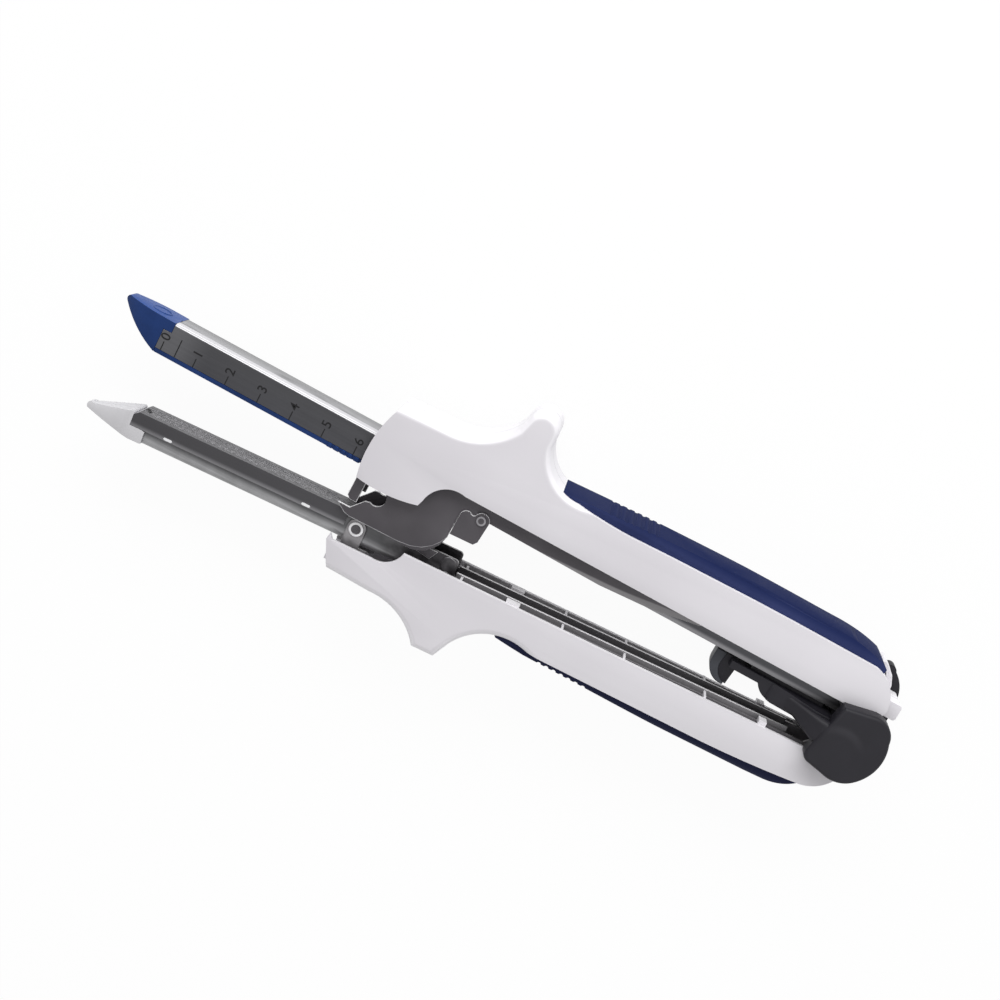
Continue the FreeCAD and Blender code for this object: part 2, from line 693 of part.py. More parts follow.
upper_casing_fill = slab(outline((100.0, 0.0), (230.0, 0.0), (230.0, 12.6), (219.9, 12.6),
                                 (217.3, 17.2, 212.0, 20.0), (178.0, 20.1, 137.0, 19.1),
                                 (126.1, 19.5, 120.3, 20.1), (110.6, 23.8, 107.0, 29.9),
                                 (100.0, 29.9)), -20, 20)
lower_casing_fill = slab(outline((100.0, 0.0), (230.0, 0.0), (230.0, -11.5), (218.6, -11.5),
                                 (216.2, -15.4, 209.4, -18.8), (192.0, -19.6, 175.0, -19.5),
                                 (126.0, -18.1), (111.0, -20.4, 106.0, -26.0), (100.0, -26.0)),
                         -20, 20)
bridge_fill = firing_bridge()

upper = {
    "cartridge_channel": cartridge_channel(),
    "guide_leg_left": guide_leg(),
    "guide_leg_right": mirrored(guide_leg()),
    "latch_pivot_studs": latch_pivot_studs(),
    "rear_hinge_block": rear_hinge_block(),
    "hinge_block_rivets": hinge_block_rivets(),
    "reload_detent_spring": reload_detent_spring(),
    "upper_casing": upper_casing(),
    "upper_grip": upper_grip(),
    "latch_plate_left": latch_plate(),
    "latch_plate_right": mirrored(latch_plate()),
    "stop_plate_left": stop_plate(),
    "stop_plate_right": mirrored(stop_plate()),
    "stop_plate_rivets": stop_plate_rivets(),
    "lever_cross_pins": lever_cross_pins(),
    "firing_bridge": bridge_fill,
    "hook_face": hook_face(),
    "knob_pad_left": knob_pad_near(),
    "knob_pad_right": knob_pad_far(),
    "push_bar_left": push_bar(),
    "push_bar_right": mirrored(push_bar()),
    "push_bar_pins": push_bar_pins(),
    "cartridge_body": cartridge_body(),
    "cartridge_pan": cartridge_pan(),
    "staple_drivers": staple_drivers(),
    "staples": staples(),
    "wedge_sled": wedge_sled(),
    "knife_blade": knife_blade(),
    "sled_push_rods": sled_push_rods(),
}

lower = {
    "anvil_channel": anvil_channel(),
    "anvil_plate": anvil_plate(),
    "anvil_tip": anvil_tip(),
    "latch_cross_pin": latch_cross_pin(),
    "pin_bracket_left": pin_bracket(),
    "pin_bracket_right": mirrored(pin_bracket()),
    "lower_casing": lower_casing(),
    "lower_grip": lower_grip(),
    "rail_outer": rail_outer(),
    "rail_inner": rail_inner(),
    "rail_front_block": rail_front_block(),
    "rail_rivets": rail_rivets(),
    "rear_hinge_pin": rear_hinge_pin(),
}

for shape in lower.values():
    shape.rotate(point(hinge_x, hinge_y), point(0, 0, 1), rest_opening)

pieces = dict(upper)
pieces.update(lower)

# The origin goes to the middle of the footprint, under the lowest point.
bounds = Part.makeCompound(list(pieces.values())).BoundBox
shift = point(-bounds.Center.x, -bounds.Center.y, -bounds.ZMin)
for name, shape in pieces.items():
    shape.translate(shift)
    shape.exportStep("parts/" + name + ".step")

print("shift", round(shift.x, 3), round(shift.y, 3), round(shift.z, 3))
for name, shape in pieces.items():
    solids = len(shape.Solids)
    print(name, solids, round(shape.Volume, 1), shape.isValid())
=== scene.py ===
import json
import math
import bmesh
import bpy
from mathutils import Matrix, Vector


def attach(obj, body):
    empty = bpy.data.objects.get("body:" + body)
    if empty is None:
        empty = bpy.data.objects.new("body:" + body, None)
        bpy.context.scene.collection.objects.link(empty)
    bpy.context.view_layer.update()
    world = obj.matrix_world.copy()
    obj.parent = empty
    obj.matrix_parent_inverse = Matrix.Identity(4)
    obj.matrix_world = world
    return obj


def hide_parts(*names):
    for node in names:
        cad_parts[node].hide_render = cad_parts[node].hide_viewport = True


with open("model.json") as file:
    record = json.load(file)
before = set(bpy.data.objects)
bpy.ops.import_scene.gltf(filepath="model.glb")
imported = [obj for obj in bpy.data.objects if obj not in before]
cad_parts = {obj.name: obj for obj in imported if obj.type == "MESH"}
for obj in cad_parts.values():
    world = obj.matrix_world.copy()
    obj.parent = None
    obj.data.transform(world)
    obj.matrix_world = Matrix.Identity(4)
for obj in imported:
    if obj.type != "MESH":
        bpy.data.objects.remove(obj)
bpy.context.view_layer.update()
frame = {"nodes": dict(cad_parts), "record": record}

nodes = frame["nodes"]
bodyOf = {node: body for body, members in frame["record"]["behaviour"]["bodies"].items() for node in members}

# The drawing counts millimetres from the ruler's zero. The anvil half is drawn shut,
# then turned open about the rear hinge.
layout = {"shift": (-106.498, 0.069, 16.5), "hinge": (214.0, -3.5), "opening": 3.6}


def place(x, y, z):
    return Vector((x + layout["shift"][0], y + layout["shift"][1], z + layout["shift"][2])) / 1000


def tint(code):
    # A web colour as the linear numbers that the shader takes.
    channels = [int(code[i:i + 2], 16) / 255 for i in (0, 2, 4)]
    return tuple(c / 12.92 if c <= 0.04045 else ((c + 0.055) / 1.055) ** 2.4 for c in channels) + (1.0,)


# Turns for whole meshes: the anvil half's opening, the drawing's shift, and a ring's axis laid along Y.
hingePoint = place(*layout["hinge"], 0)
opened = (Matrix.Translation(hingePoint) @ Matrix.Rotation(math.radians(layout["opening"]), 4, "Z")
          @ Matrix.Translation(-hingePoint))
shifted = Matrix.Translation(place(0, 0, 0))
zToY = Matrix.Rotation(-math.pi / 2, 4, "X")


class Wire:
    # A socket that can be added, scaled and limited like a number.
    def __init__(self, graph, socket):
        self.graph = graph
        self.socket = socket

    def maths(self, operation, other=0.0, swapped=False):
        pair = (other, self) if swapped else (self, other)
        return self.graph.node("ShaderNodeMath", {"operation": operation}, {0: pair[0], 1: pair[1]})

    def __add__(self, other): return self.maths("ADD", other)
    def __radd__(self, other): return self.maths("ADD", other, True)
    def __sub__(self, other): return self.maths("SUBTRACT", other)
    def __rsub__(self, other): return self.maths("SUBTRACT", other, True)
    def __mul__(self, other): return self.maths("MULTIPLY", other)
    def __rmul__(self, other): return self.maths("MULTIPLY", other, True)
    def __pow__(self, other): return self.maths("POWER", other)
    def __abs__(self): return self.maths("ABSOLUTE")
    def atMost(self, other): return self.maths("MINIMUM", other)

    def ramp(self, low, high):
        return self.graph.node("ShaderNodeMapRange", {"interpolation_type": "SMOOTHSTEP"},
                               {"Value": self, "From Min": low, "From Max": high})

    def between(self, low, high, soft):
        return self.ramp(low - soft, low + soft) * (1 - self.ramp(high - soft, high + soft))


class Graph:
    # A node tree whose inputs take sockets and plain values alike.
    def __init__(self, tree):
        self.tree = tree

    def node(self, kind, settings=None, inputs=None, output=0):
        made = self.tree.nodes.new(kind)
        for key, value in (settings or {}).items():
            setattr(made, key, value)
        for key, value in (inputs or {}).items():
            self.feed(made.inputs[key], value)
        return Wire(self, made.outputs[output])

    def feed(self, socket, value):
        if isinstance(value, Wire):
            self.tree.links.new(value.socket, socket)
        else:
            socket.default_value = value


class Finish(Graph):
    # A material with one Principled shader.
    def __init__(self, name, roughness=0.5, metallic=0.0, specular=0.5):
        self.material = bpy.data.materials.new(name)
        self.material.use_nodes = True
        super().__init__(self.material.node_tree)
        self.shader = self.tree.nodes["Principled BSDF"]
        self.shader.inputs["Roughness"].default_value = roughness
        self.shader.inputs["Metallic"].default_value = metallic
        self.shader.inputs["Specular IOR Level"].default_value = specular

    def base(self, colour): self.feed(self.shader.inputs["Base Color"], colour)
    def rough(self, value): self.feed(self.shader.inputs["Roughness"], value)
    def metal(self, value): self.feed(self.shader.inputs["Metallic"], value)

    def where(self):
        return self.node("ShaderNodeTexCoord", output="Object")

    def axis(self, vector, letter):
        return self.node("ShaderNodeSeparateXYZ", None, {0: vector}, letter)

    def facing(self, letter):
        # How far the surface faces along one axis, from minus one to one.
        return self.axis(self.node("ShaderNodeTexCoord", output="Normal"), letter)

    def drawn(self, half="upper"):
        # Where the surface is in the drawing's millimetres, with the anvil half shut.
        spot = self.where()
        x, y, z = (self.axis(spot, letter) * 1000 - offset for letter, offset in zip("XYZ", layout["shift"]))
        if half == "lower":
            turn = math.radians(layout["opening"])
            hingeX, hingeY = layout["hinge"]
            dx, dy = x - hingeX, y - hingeY
            x = dx * math.cos(turn) + dy * math.sin(turn) + hingeX
            y = dy * math.cos(turn) - dx * math.sin(turn) + hingeY
        return x, y, z

    def grain(self, size, detail, stretch=(1, 1, 1)):
        # Noise whose features are about size millimetres long, stretched along the given axes.
        scale = tuple(1000 / size / s for s in stretch)
        spot = self.node("ShaderNodeMapping", None, {"Vector": self.where(), "Scale": scale})
        return self.node("ShaderNodeTexNoise", None, {"Vector": spot, "Scale": 1.0, "Detail": detail})

    def blended(self, factor, first, second, mode="MIX"):
        first, second = (tint(colour) if isinstance(colour, str) else colour for colour in (first, second))
        return self.node("ShaderNodeMix", {"data_type": "RGBA", "blend_type": mode},
                         {0: factor, 6: first, 7: second}, 2)

    def bump(self, height, strength, distance):
        relief = self.node("ShaderNodeBump", None,
                           {"Strength": strength, "Distance": distance, "Height": height})
        self.feed(self.shader.inputs["Normal"], relief)

    def brushed(self, colour, look):
        # Fine lengthwise streaks and soft clouds over a steel colour.
        streaks = self.grain(look["streak"], brush["streakDetail"], (look["stretch"], 1, 1))
        clouds = self.grain(look["cloud"], brush["cloudDetail"])
        tone = (streaks - 0.5) * look["contrast"] + (clouds - 0.5) * look["patch"] + 0.5
        worn = self.blended(1.0, colour, (look["dark"],) * 3 + (1,), "MULTIPLY")
        self.base(self.blended(tone.ramp(0.0, 1.0), worn, colour))
        self.rough((streaks - 0.5) * brush["roughSpread"] + look["rough"])
        self.bump(streaks, brush["bump"], brush["depth"])
        return self.material


brush = {"streakDetail": 5.0, "cloudDetail": 3.0, "roughSpread": 0.22, "bump": 0.25, "depth": 0.00004}
# Where noise turns from the first colour to the second.
noiseCut = {"even": (0.3, 0.7), "darker": (0.3, 0.75), "speckled": (0.35, 0.7), "patchy": (0.5, 0.72)}


def channelSteel():
    # Dark brushed sides and a pale grey back, their contrast partly painted light from above; a painted white
    # highlight round the bend, and painted highlights along the back's edges.
    look = {"streak": 0.5, "stretch": 40, "cloud": 14, "contrast": 0.8, "patch": 0.6, "dark": 0.78,
            "rough": 0.38, "stain": (7, 4.0, (2.5, 1, 1)), "frontShare": 0.6, "foldShare": 0.8}
    zone = {"side": (1.3, 8.6), "lip": (2.6, 4.2, 0.5), "lipStart": (88, 112), "front": (14, 2),
            "back": (-5.4, 3.0), "farEdge": (-5.2, -5.5), "nearEdge": (2.5, 2.9)}
    turn = {"bend": (0.4, 0.93, 0.05), "fold": (0.6, 0.74, 0.04), "back": (0.5, 0.9)}
    metal = {"side": 0.7, "bend": 0.65, "back": 0.35}
    finish = Finish("channelSteel")
    x, y, z = finish.drawn()
    up = finish.facing("Y")
    side = finish.blended(y.ramp(*zone["side"]), "47474B", "4A4A4D")
    side = finish.blended(y.between(*zone["lip"]) * x.ramp(*zone["lipStart"]), side, "7C7B7E")
    side = finish.blended(x.ramp(*zone["front"]) * look["frontShare"], side, "6C6C6F")
    # Painted light: the back is paler than the sides, as if lit from above.
    back = finish.blended(z.ramp(*zone["back"]), "858587", "A9A9AC")
    back = finish.blended(finish.grain(*look["stain"]).ramp(*noiseCut["patchy"]), back, "77777A")
    # Painted highlights: the back turns near-white towards its far and near edges.
    back = finish.blended(z.ramp(*zone["farEdge"]), back, "E6E6E7")
    back = finish.blended(z.ramp(*zone["nearEdge"]), back, "DAD9DD")
    # Painted highlight: near-white round the bend, greyer in its middle.
    bend = up.between(*turn["bend"])
    fold = finish.blended(up.between(*turn["fold"]) * look["foldShare"], "F0EFF2", "A9A8AB")
    whole = finish.blended(bend, finish.blended(up.ramp(*turn["back"]), side, back), fold)
    finish.metal(metal["side"] - bend * metal["bend"] - up.ramp(*turn["back"]) * metal["back"])
    return finish.brushed(whole, look)


def anvilPlateSteel():
    # Near-black skirt with a painted reflection lightening its foot, and a mottled grey face with a smoother
    # rim; painted light makes the side faces inside the skirt and the pocket floors pale.
    look = {"streak": 0.6, "stretch": 20, "cloud": 9, "contrast": 0.6, "patch": 0.5, "dark": 0.8,
            "rough": 0.45, "speckle": (0.55, 3.0)}
    zone = {"foot": (-6.9, -8.3), "skirt": (5.2, 5.35), "rim": (4.7, 5.0), "pocket": (-4.05, -4.2),
            "turn": (0.4, 0.8)}
    finish = Finish("anvilPlateSteel", metallic=0.55)
    _, y, z = finish.drawn("lower")
    up = finish.facing("Y")
    speckle = finish.grain(*look["speckle"])
    # Painted reflection: the skirt lightens towards its foot.
    skirt = finish.blended(y.ramp(*zone["foot"]), "444346", "78777A")
    # Painted light: side faces inside the skirt's outer faces are pale against their shade.
    skirt = finish.blended(abs(z).ramp(*zone["skirt"]), "B0AFB2", skirt)
    face = finish.blended(speckle.ramp(*noiseCut["speckled"]), "5C5B5E", "7C7B7E")
    face = finish.blended(abs(z).ramp(*zone["rim"]), face, "757477")
    # Painted light: the pocket floors below the face are pale, standing in for their glints.
    face = finish.blended(y.ramp(*zone["pocket"]), face, "C4C3C6")
    return finish.brushed(finish.blended(up.ramp(*zone["turn"]), skirt, face), look)


def anvilTraySteel():
    # Pale grey along the jaw, with painted shade darkening it up under the skirt and a painted reflection
    # paling it lower down; dark and blotched behind it; painted highlights on the upper edges.
    look = {"streak": 0.6, "stretch": 45, "cloud": 7, "contrast": 0.8, "patch": 1.1, "dark": 0.62,
            "rough": 0.36, "blotch": (5, 3.0)}
    zone = {"shade": (-11.0, -8.6), "rear": (72, 86), "turn": (0.35, 0.8)}
    finish = Finish("anvilTraySteel", metallic=0.5)
    x, y, _ = finish.drawn("lower")
    up = finish.facing("Y")
    # Painted shade and reflection: dark up under the skirt, pale lower down.
    front = finish.blended(y.ramp(*zone["shade"]), "A6A6A8", "5E5E60")
    rear = finish.blended(finish.grain(*look["blotch"]).ramp(*noiseCut["speckled"]), "302E31", "615F62")
    whole = finish.blended(x.ramp(*zone["rear"]), front, rear)
    # Painted highlight: faces turned up are lighter.
    whole = finish.blended(up.ramp(*zone["turn"]), whole, "A8A6A9")
    return finish.brushed(whole, look)


def railSteel(name, troughShade, side, edge):
    # Painted shade makes the inside of the trough dark, painted light makes the outer sides lighter against
    # their shadow, and painted highlights pale the upper edges.
    look = {"streak": 0.6, "stretch": 45, "cloud": 12, "contrast": 0.7, "patch": 0.6, "dark": 0.8,
            "rough": 0.4}
    zone = {"side": (3.5, 3.9), "turn": (0.25, 0.7)}
    finish = Finish(name, metallic=0.3)
    _, _, z = finish.drawn("lower")
    # Painted shade inside the trough and painted light on the outer sides.
    wall = finish.blended(abs(z).ramp(*zone["side"]), troughShade, side)
    # Painted highlights: faces turned up take the edge colour.
    return finish.brushed(finish.blended(finish.facing("Y").ramp(*zone["turn"]), wall, edge), look)


def plainSteel(name, low, high, rough, metallic):
    look = {"streak": 0.4, "stretch": 10, "cloud": 6, "contrast": 0.5, "patch": 0.6, "dark": 0.82,
            "rough": rough, "mottle": (4, 2.0)}
    finish = Finish(name, metallic=metallic)
    mottle = finish.grain(*look["mottle"])
    return finish.brushed(finish.blended(mottle.ramp(*noiseCut["even"]), low, high), look)


def pinSteel(name, half, centre, ring, colours):
    # A turned end: a painted highlight ring between two radii, dark inside and round it.
    look = {"streak": 0.3, "stretch": 1, "cloud": 2, "contrast": 0.4, "patch": 0.3, "dark": 0.85,
            "rough": 0.3, "soft": 0.12}
    finish = Finish(name, metallic=0.35)
    x, y, _ = finish.drawn(half)
    radius = ((x - centre[0]) ** 2 + (y - centre[1]) ** 2) ** 0.5
    return finish.brushed(finish.blended(radius.between(*ring, look["soft"]), *colours), look)


def latchSteel():
    # Dark blasted faces, a painted highlight on the sheared edges, and a lighter strip along the rear arm.
    look = {"grit": (0.35, 3.0), "cloud": (16, 2.0), "rough": 0.5, "roughSpread": 0.2, "bump": 0.2,
            "depth": 0.00004}
    zone = {"arm": (101, 112), "slope": 0.055, "wedge": (138, 165), "wedgeRise": 1.4, "strip": (-3.9, -3.3),
            "rear": (132, 160), "rearShare": 0.2, "flat": (0.8, 0.99)}
    finish = Finish("latchSteel", metallic=0.3, specular=0.4)
    x, y, _ = finish.drawn()
    grit = finish.grain(*look["grit"])
    clouds = finish.grain(*look["cloud"])
    flat = abs(finish.facing("Z"))
    face = finish.blended(clouds.ramp(*noiseCut["even"]), "413E42", "4B484C")
    slantedHeight = y - x * zone["slope"] - x.ramp(*zone["wedge"]) * zone["wedgeRise"]
    strip = x.ramp(*zone["arm"]) * (1 - slantedHeight.ramp(*zone["strip"]))
    strip = strip + x.ramp(*zone["rear"]) * zone["rearShare"]
    face = finish.blended(strip.atMost(1.0), face, "7E7C7E")
    # Painted highlight: the rounded edges are near-white.
    finish.base(finish.blended(flat.ramp(*zone["flat"]), "F4F3F5", face))
    finish.rough((grit - 0.5) * look["roughSpread"] + look["rough"])
    finish.bump(grit, look["bump"], look["depth"])
    return finish.material


def mouldedShell(name, side, litFlank, rough):
    # Smooth moulded plastic: a faint parting line, and paler, slightly duller flanks whose paleness is
    # painted light on the tops and rounded edges.
    look = {"peel": (1.6, 2.0), "flow": (60, 2.0), "flowShare": 0.3, "roughSpread": 0.12, "flankRough": 0.08,
            "peelHeight": 0.2, "seamHeight": 0.8, "bump": 0.3, "depth": 0.0001}
    zone = {"seam": (0.00006, 0.00022), "litFlank": (0.86, 0.995)}
    finish = Finish(name, specular=0.35)
    peel = finish.grain(*look["peel"])
    flow = finish.grain(*look["flow"])
    height = finish.axis(finish.where(), "Z") - layout["shift"][2] / 1000
    seam = abs(height).ramp(*zone["seam"])
    flat = abs(finish.facing("Z")).ramp(*zone["litFlank"])
    wall = finish.blended(flow.ramp(*noiseCut["even"]) * look["flowShare"], side, litFlank)
    # Painted light: tops and rounded edges are paler than the sides.
    face = finish.blended(flat, litFlank, wall)
    finish.base(finish.blended(seam, "A9A8AD", face))
    finish.rough((peel - 0.5) * look["roughSpread"] + rough + flat * look["flankRough"])
    finish.bump(peel * look["peelHeight"] + seam * look["seamHeight"], look["bump"], look["depth"])
    return finish.material


def navyRubber(name, low, high, top):
    # Dull stippled rubber with a dusty bloom; faces turned to the back take another tone, painted against the
    # light that falls on them.
    look = {"stipple": (0.45, 2.0), "dust": (22, 3.0), "turn": (0.2, 0.9), "rough": 0.7, "roughSpread": 0.2,
            "bump": 0.5, "depth": 0.00010}
    finish = Finish(name, specular=0.05)
    stipple = finish.grain(*look["stipple"])
    dust = finish.grain(*look["dust"])
    up = finish.facing("Y").ramp(*look["turn"])
    skin = finish.blended(dust.ramp(*noiseCut["darker"]), low, high)
    # Painted light and shade: faces turned to the back take another tone.
    finish.base(finish.blended(up, skin, top))
    finish.rough((dust - 0.5) * look["roughSpread"] + look["rough"])
    finish.bump(stipple, look["bump"], look["depth"])
    return finish.material


def mouldedBlack(name, low, high, rough, dish=None):
    # Sparkling fine grain; where a dish is given, a thumb hollow with a painted highlight along its upper lip
    # as well.
    look = {"spark": (0.5, 2.0), "wear": (12, 3.0), "roughSpread": 0.18, "bump": 0.3, "depth": 0.00006}
    finish = Finish(name, specular=0.25)
    spark = finish.grain(*look["spark"])
    wear = finish.grain(*look["wear"])
    skin = finish.blended(wear.ramp(*noiseCut["darker"]), low, high)
    height, depth = spark, look["depth"]
    if dish:
        x, y, _ = finish.drawn()
        across, along = x - dish["x"], y - dish["y"]
        distance = (across * across + along * along) ** 0.5
        hollow = distance.ramp(dish["radius"] - dish["slope"], dish["radius"])
        height, depth = spark * dish["sparkHeight"] + hollow * dish["rise"], dish["depth"]
        # Four times the product is one where the slope is half way down.
        lip = hollow * (1 - hollow) * 4 * along.ramp(dish["lipStart"], dish["radius"])
        # Painted highlight along the hollow's upper lip.
        skin = finish.blended(lip * dish["lipHighlightShare"], skin, dish["lip"])
    finish.base(skin)
    finish.rough((wear - 0.5) * look["roughSpread"] + rough)
    finish.bump(height, look["bump"], depth)
    return finish.material


def reloadBlue():
    # Deep blue sides and deck, painted a little paler on the prow's back, where faces turn up to the light.
    look = {"flow": (9, 3.0, (2, 1, 1)), "peel": (0.9, 2.0), "turn": (0.3, 0.95), "rough": 0.42,
            "roughSpread": 0.15, "bump": 0.2, "depth": 0.00006}
    finish = Finish("reloadBlue", specular=0.15)
    flow = finish.grain(*look["flow"])
    peel = finish.grain(*look["peel"])
    up = finish.facing("Y").ramp(*look["turn"])
    side = finish.blended(flow.ramp(*noiseCut["even"]), "122852", "1B3467")
    # Painted light: faces turned up are paler.
    finish.base(finish.blended(up, side, "23478B"))
    finish.rough((flow - 0.5) * look["roughSpread"] + look["rough"])
    finish.bump(peel, look["bump"], look["depth"])
    return finish.material


# The dish's lip colour is a painted highlight.
knobDish = {"x": 212.8, "y": -4.4, "radius": 8.0, "slope": 4.0, "sparkHeight": 0.1, "rise": 1.6,
            "depth": 0.0005, "lipStart": 2.0, "lipHighlightShare": 0.35, "lip": "48474D"}
steel = {
    "channel": channelSteel(),
    "anvilPlate": anvilPlateSteel(),
    "anvilTray": anvilTraySteel(),
    "latch": latchSteel(),
    # Rails: painted shade in the trough, painted light on the outer sides, painted highlights on the upper
    # edges.
    "innerRail": railSteel("innerRailSteel", "4E4C4F", "7E7C7F", "DEDCDF"),
    "outerRail": railSteel("outerRailSteel", "6E6B6F", "7E7B7F", "8A878B"),
    "bracket": plainSteel("bracketSteel", "6B696B", "908E90", 0.38, 0.5),
    # Painted light: the liners are pale against the shadow they stand in.
    "liner": plainSteel("linerSteel", "9A989B", "B2B0B3", 0.45, 0.1),
    "bright": plainSteel("brightSteel", "B4B4B6", "DADADC", 0.28, 0.7),
    # Painted glint: the near-white windows in the skirt.
    "glint": plainSteel("glintSteel", "E4E4E6", "F4F4F6", 0.4, 0.1),
    # Painted highlights: the pocket rims and the latch plates' edge lines.
    "rim": plainSteel("highlightSteel", "7A797C", "A5A4A7", 0.45, 0.2),
    # Painted highlights: the pale rings on the pin and rivet ends.
    "crossPin": pinSteel("crossPinSteel", "lower", (69.7, -8.0), (1.4, 2.2), ("4B494C", "E2E1E3")),
    "stopRivet": pinSteel("stopRivetSteel", "upper", (99.6, 2.8), (0.85, 1.3), ("444145", "8C8A8E")),
}
plastic = {
    # Shell and tip: the second colour is painted light on tops and edges.
    "shell": mouldedShell("whiteShell", "D5D2D7", "ECEAEE", 0.34),
    "tip": mouldedShell("paleTip", "C0BFC2", "D2D1D4", 0.42),
    "navy": navyRubber("navyRubber", "272F55", "323A62", "18224A"),
    # Painted shade: the lower grip is a darker, shaded copy of the same rubber.
    "navyShaded": navyRubber("navyRubberShaded", "1F223A", "272A44", "252B4C"),
    "knob": mouldedBlack("knobBlack", "18171D", "201F25", 0.5, knobDish),
    "hook": mouldedBlack("hookSlate", "3E4046", "4C4E54", 0.5),
    "block": mouldedBlack("darkBlock", "1E1D20", "2A292D", 0.5),
    "blue": reloadBlue(),
    "driver": mouldedBlack("driverPlastic", "C9C8C0", "D8D7D0", 0.5),
    "ink": mouldedBlack("inkBlack", "0C0C0E", "141416", 0.6),
}
print("materials made:", len(steel) + len(plastic))

# Each CAD node is dressed with a merged copy of itself whose sharp edges are rounded:
# its finish, the bevel in millimetres, and its slot in the record.
dressing = {
    "cartridge_channel": (steel["channel"], 0.12, "channel_steel"),
    "guide_leg_left": (steel["latch"], 0.18, "channel_steel"),
    "guide_leg_right": (steel["latch"], 0.18, "channel_steel"),
    "latch_pivot_studs": (steel["bright"], 0.12, "bright_steel"),
    "rear_hinge_block": (plastic["block"], 0.2, "dark_block"),
    "upper_casing": (plastic["shell"], 0.55, "white_casing"),
    "upper_grip": (plastic["navy"], 0.3, "navy_grip"),
    "latch_plate_left": (steel["latch"], 0.34, "plate_steel"),
    "latch_plate_right": (steel["latch"], 0.34, "plate_steel"),
    "stop_plate_left": (steel["latch"], 0.28, "plate_steel"),
    "stop_plate_right": (steel["latch"], 0.28, "plate_steel"),
    "stop_plate_rivets": (steel["stopRivet"], 0.12, "bright_steel"),
    "anvil_channel": (steel["anvilTray"], 0.14, "anvil_steel"),
    "anvil_plate": (steel["anvilPlate"], 0.1, "dark_anvil"),
    "anvil_tip": (plastic["tip"], 0.45, "white_casing"),
    "latch_cross_pin": (steel["crossPin"], 0.15, "bright_steel"),
    "pin_bracket_left": (steel["bracket"], 0.15, "anvil_steel"),
    "pin_bracket_right": (steel["bracket"], 0.15, "anvil_steel"),
    "lower_casing": (plastic["shell"], 0.45, "white_casing"),
    "lower_grip": (plastic["navyShaded"], 0.3, "navy_grip"),
    "rail_outer": (steel["outerRail"], 0.15, "anvil_steel"),
    "rail_inner": (steel["innerRail"], 0.15, "anvil_steel"),
    "rail_front_block": (plastic["block"], 0.3, "dark_block"),
    "firing_bridge": (plastic["knob"], 0.5, "black_knob"),
    "hook_face": (plastic["hook"], 0.25, "slate_face"),
    "knob_pad_left": (plastic["knob"], 0.4, "black_knob"),
    "knob_pad_right": (plastic["knob"], 0.4, "black_knob"),
    "cartridge_body": (plastic["blue"], 0.12, "reload_blue"),
    "wedge_sled": (plastic["shell"], 0.1, "white_casing"),
}
# These keep their own meshes and only take a finish.
plainNodes = dict.fromkeys(("hinge_block_rivets", "reload_detent_spring", "lever_cross_pins", "rail_rivets",
                            "rear_hinge_pin", "push_bar_left", "push_bar_right", "push_bar_pins",
                            "cartridge_pan", "staples", "knife_blade", "sled_push_rods"), steel["bright"])
plainNodes["staple_drivers"] = plastic["driver"]
rounding = {"merge": 2e-6, "flat": 0.6, "segments": 3, "sharp": 38}
gripLift = {"start": 136.0, "end": 196.0, "rise": 1.5, "nose": 127.0, "noseLength": 12.0, "noseRise": 0.7}


def shown(name, data):
    made = bpy.data.objects.new(name, data)
    bpy.context.scene.collection.objects.link(made)
    return made


def linked(name, mesh, material):
    piece = shown(name, mesh)
    mesh.materials.clear()
    mesh.materials.append(material)
    return piece


def finished(work, name):
    mesh = bpy.data.meshes.new(name)
    work.to_mesh(mesh)
    work.free()
    return mesh


def slimmed(work):
    # The lower grip's front half is thinner than its solid: its skin is lifted into the casing.
    for vert in work.verts:
        x = vert.co.x * 1000 - layout["shift"][0]
        share = min(max((gripLift["end"] - x) / (gripLift["end"] - gripLift["start"]), 0.0), 1.0)
        nose = min(max((gripLift["nose"] - x) / gripLift["noseLength"], 0.0), 1.0)
        vert.co.y += (gripLift["rise"] * share + gripLift["noseRise"] * nose) / 1000


def dressed(node, material, bevel, slotName):
    work = bmesh.new()
    work.from_mesh(nodes[node].data)
    bmesh.ops.remove_doubles(work, verts=work.verts, dist=rounding["merge"])
    bmesh.ops.dissolve_limit(work, angle_limit=math.radians(rounding["flat"]), verts=work.verts,
                             edges=work.edges)
    if node == "lower_grip":
        slimmed(work)
    for face in work.faces:
        face.smooth = True
    piece = linked(node + "_skin", finished(work, node + "_skin"), material)
    edges = piece.modifiers.new("rounding", "BEVEL")
    edges.width = bevel / 1000
    edges.segments = rounding["segments"]
    edges.limit_method = "ANGLE"
    edges.angle_limit = math.radians(rounding["sharp"])
    edges.use_clamp_overlap = True
    edges.harden_normals = True
    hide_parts(node)
    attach(piece, bodyOf[node])


for node, row in dressing.items():
    dressed(node, *row)
for node, material in plainNodes.items():
    for slot in nodes[node].material_slots:
        slot.material = material
print("CAD nodes dressed:", len(dressing), "rounded,", len(plainNodes), "plain")


def plainMesh(carrier):
    bpy.context.view_layer.update()
    mesh = bpy.data.meshes.new_from_object(carrier.evaluated_get(bpy.context.evaluated_depsgraph_get()))
    bpy.data.objects.remove(carrier)
    return mesh


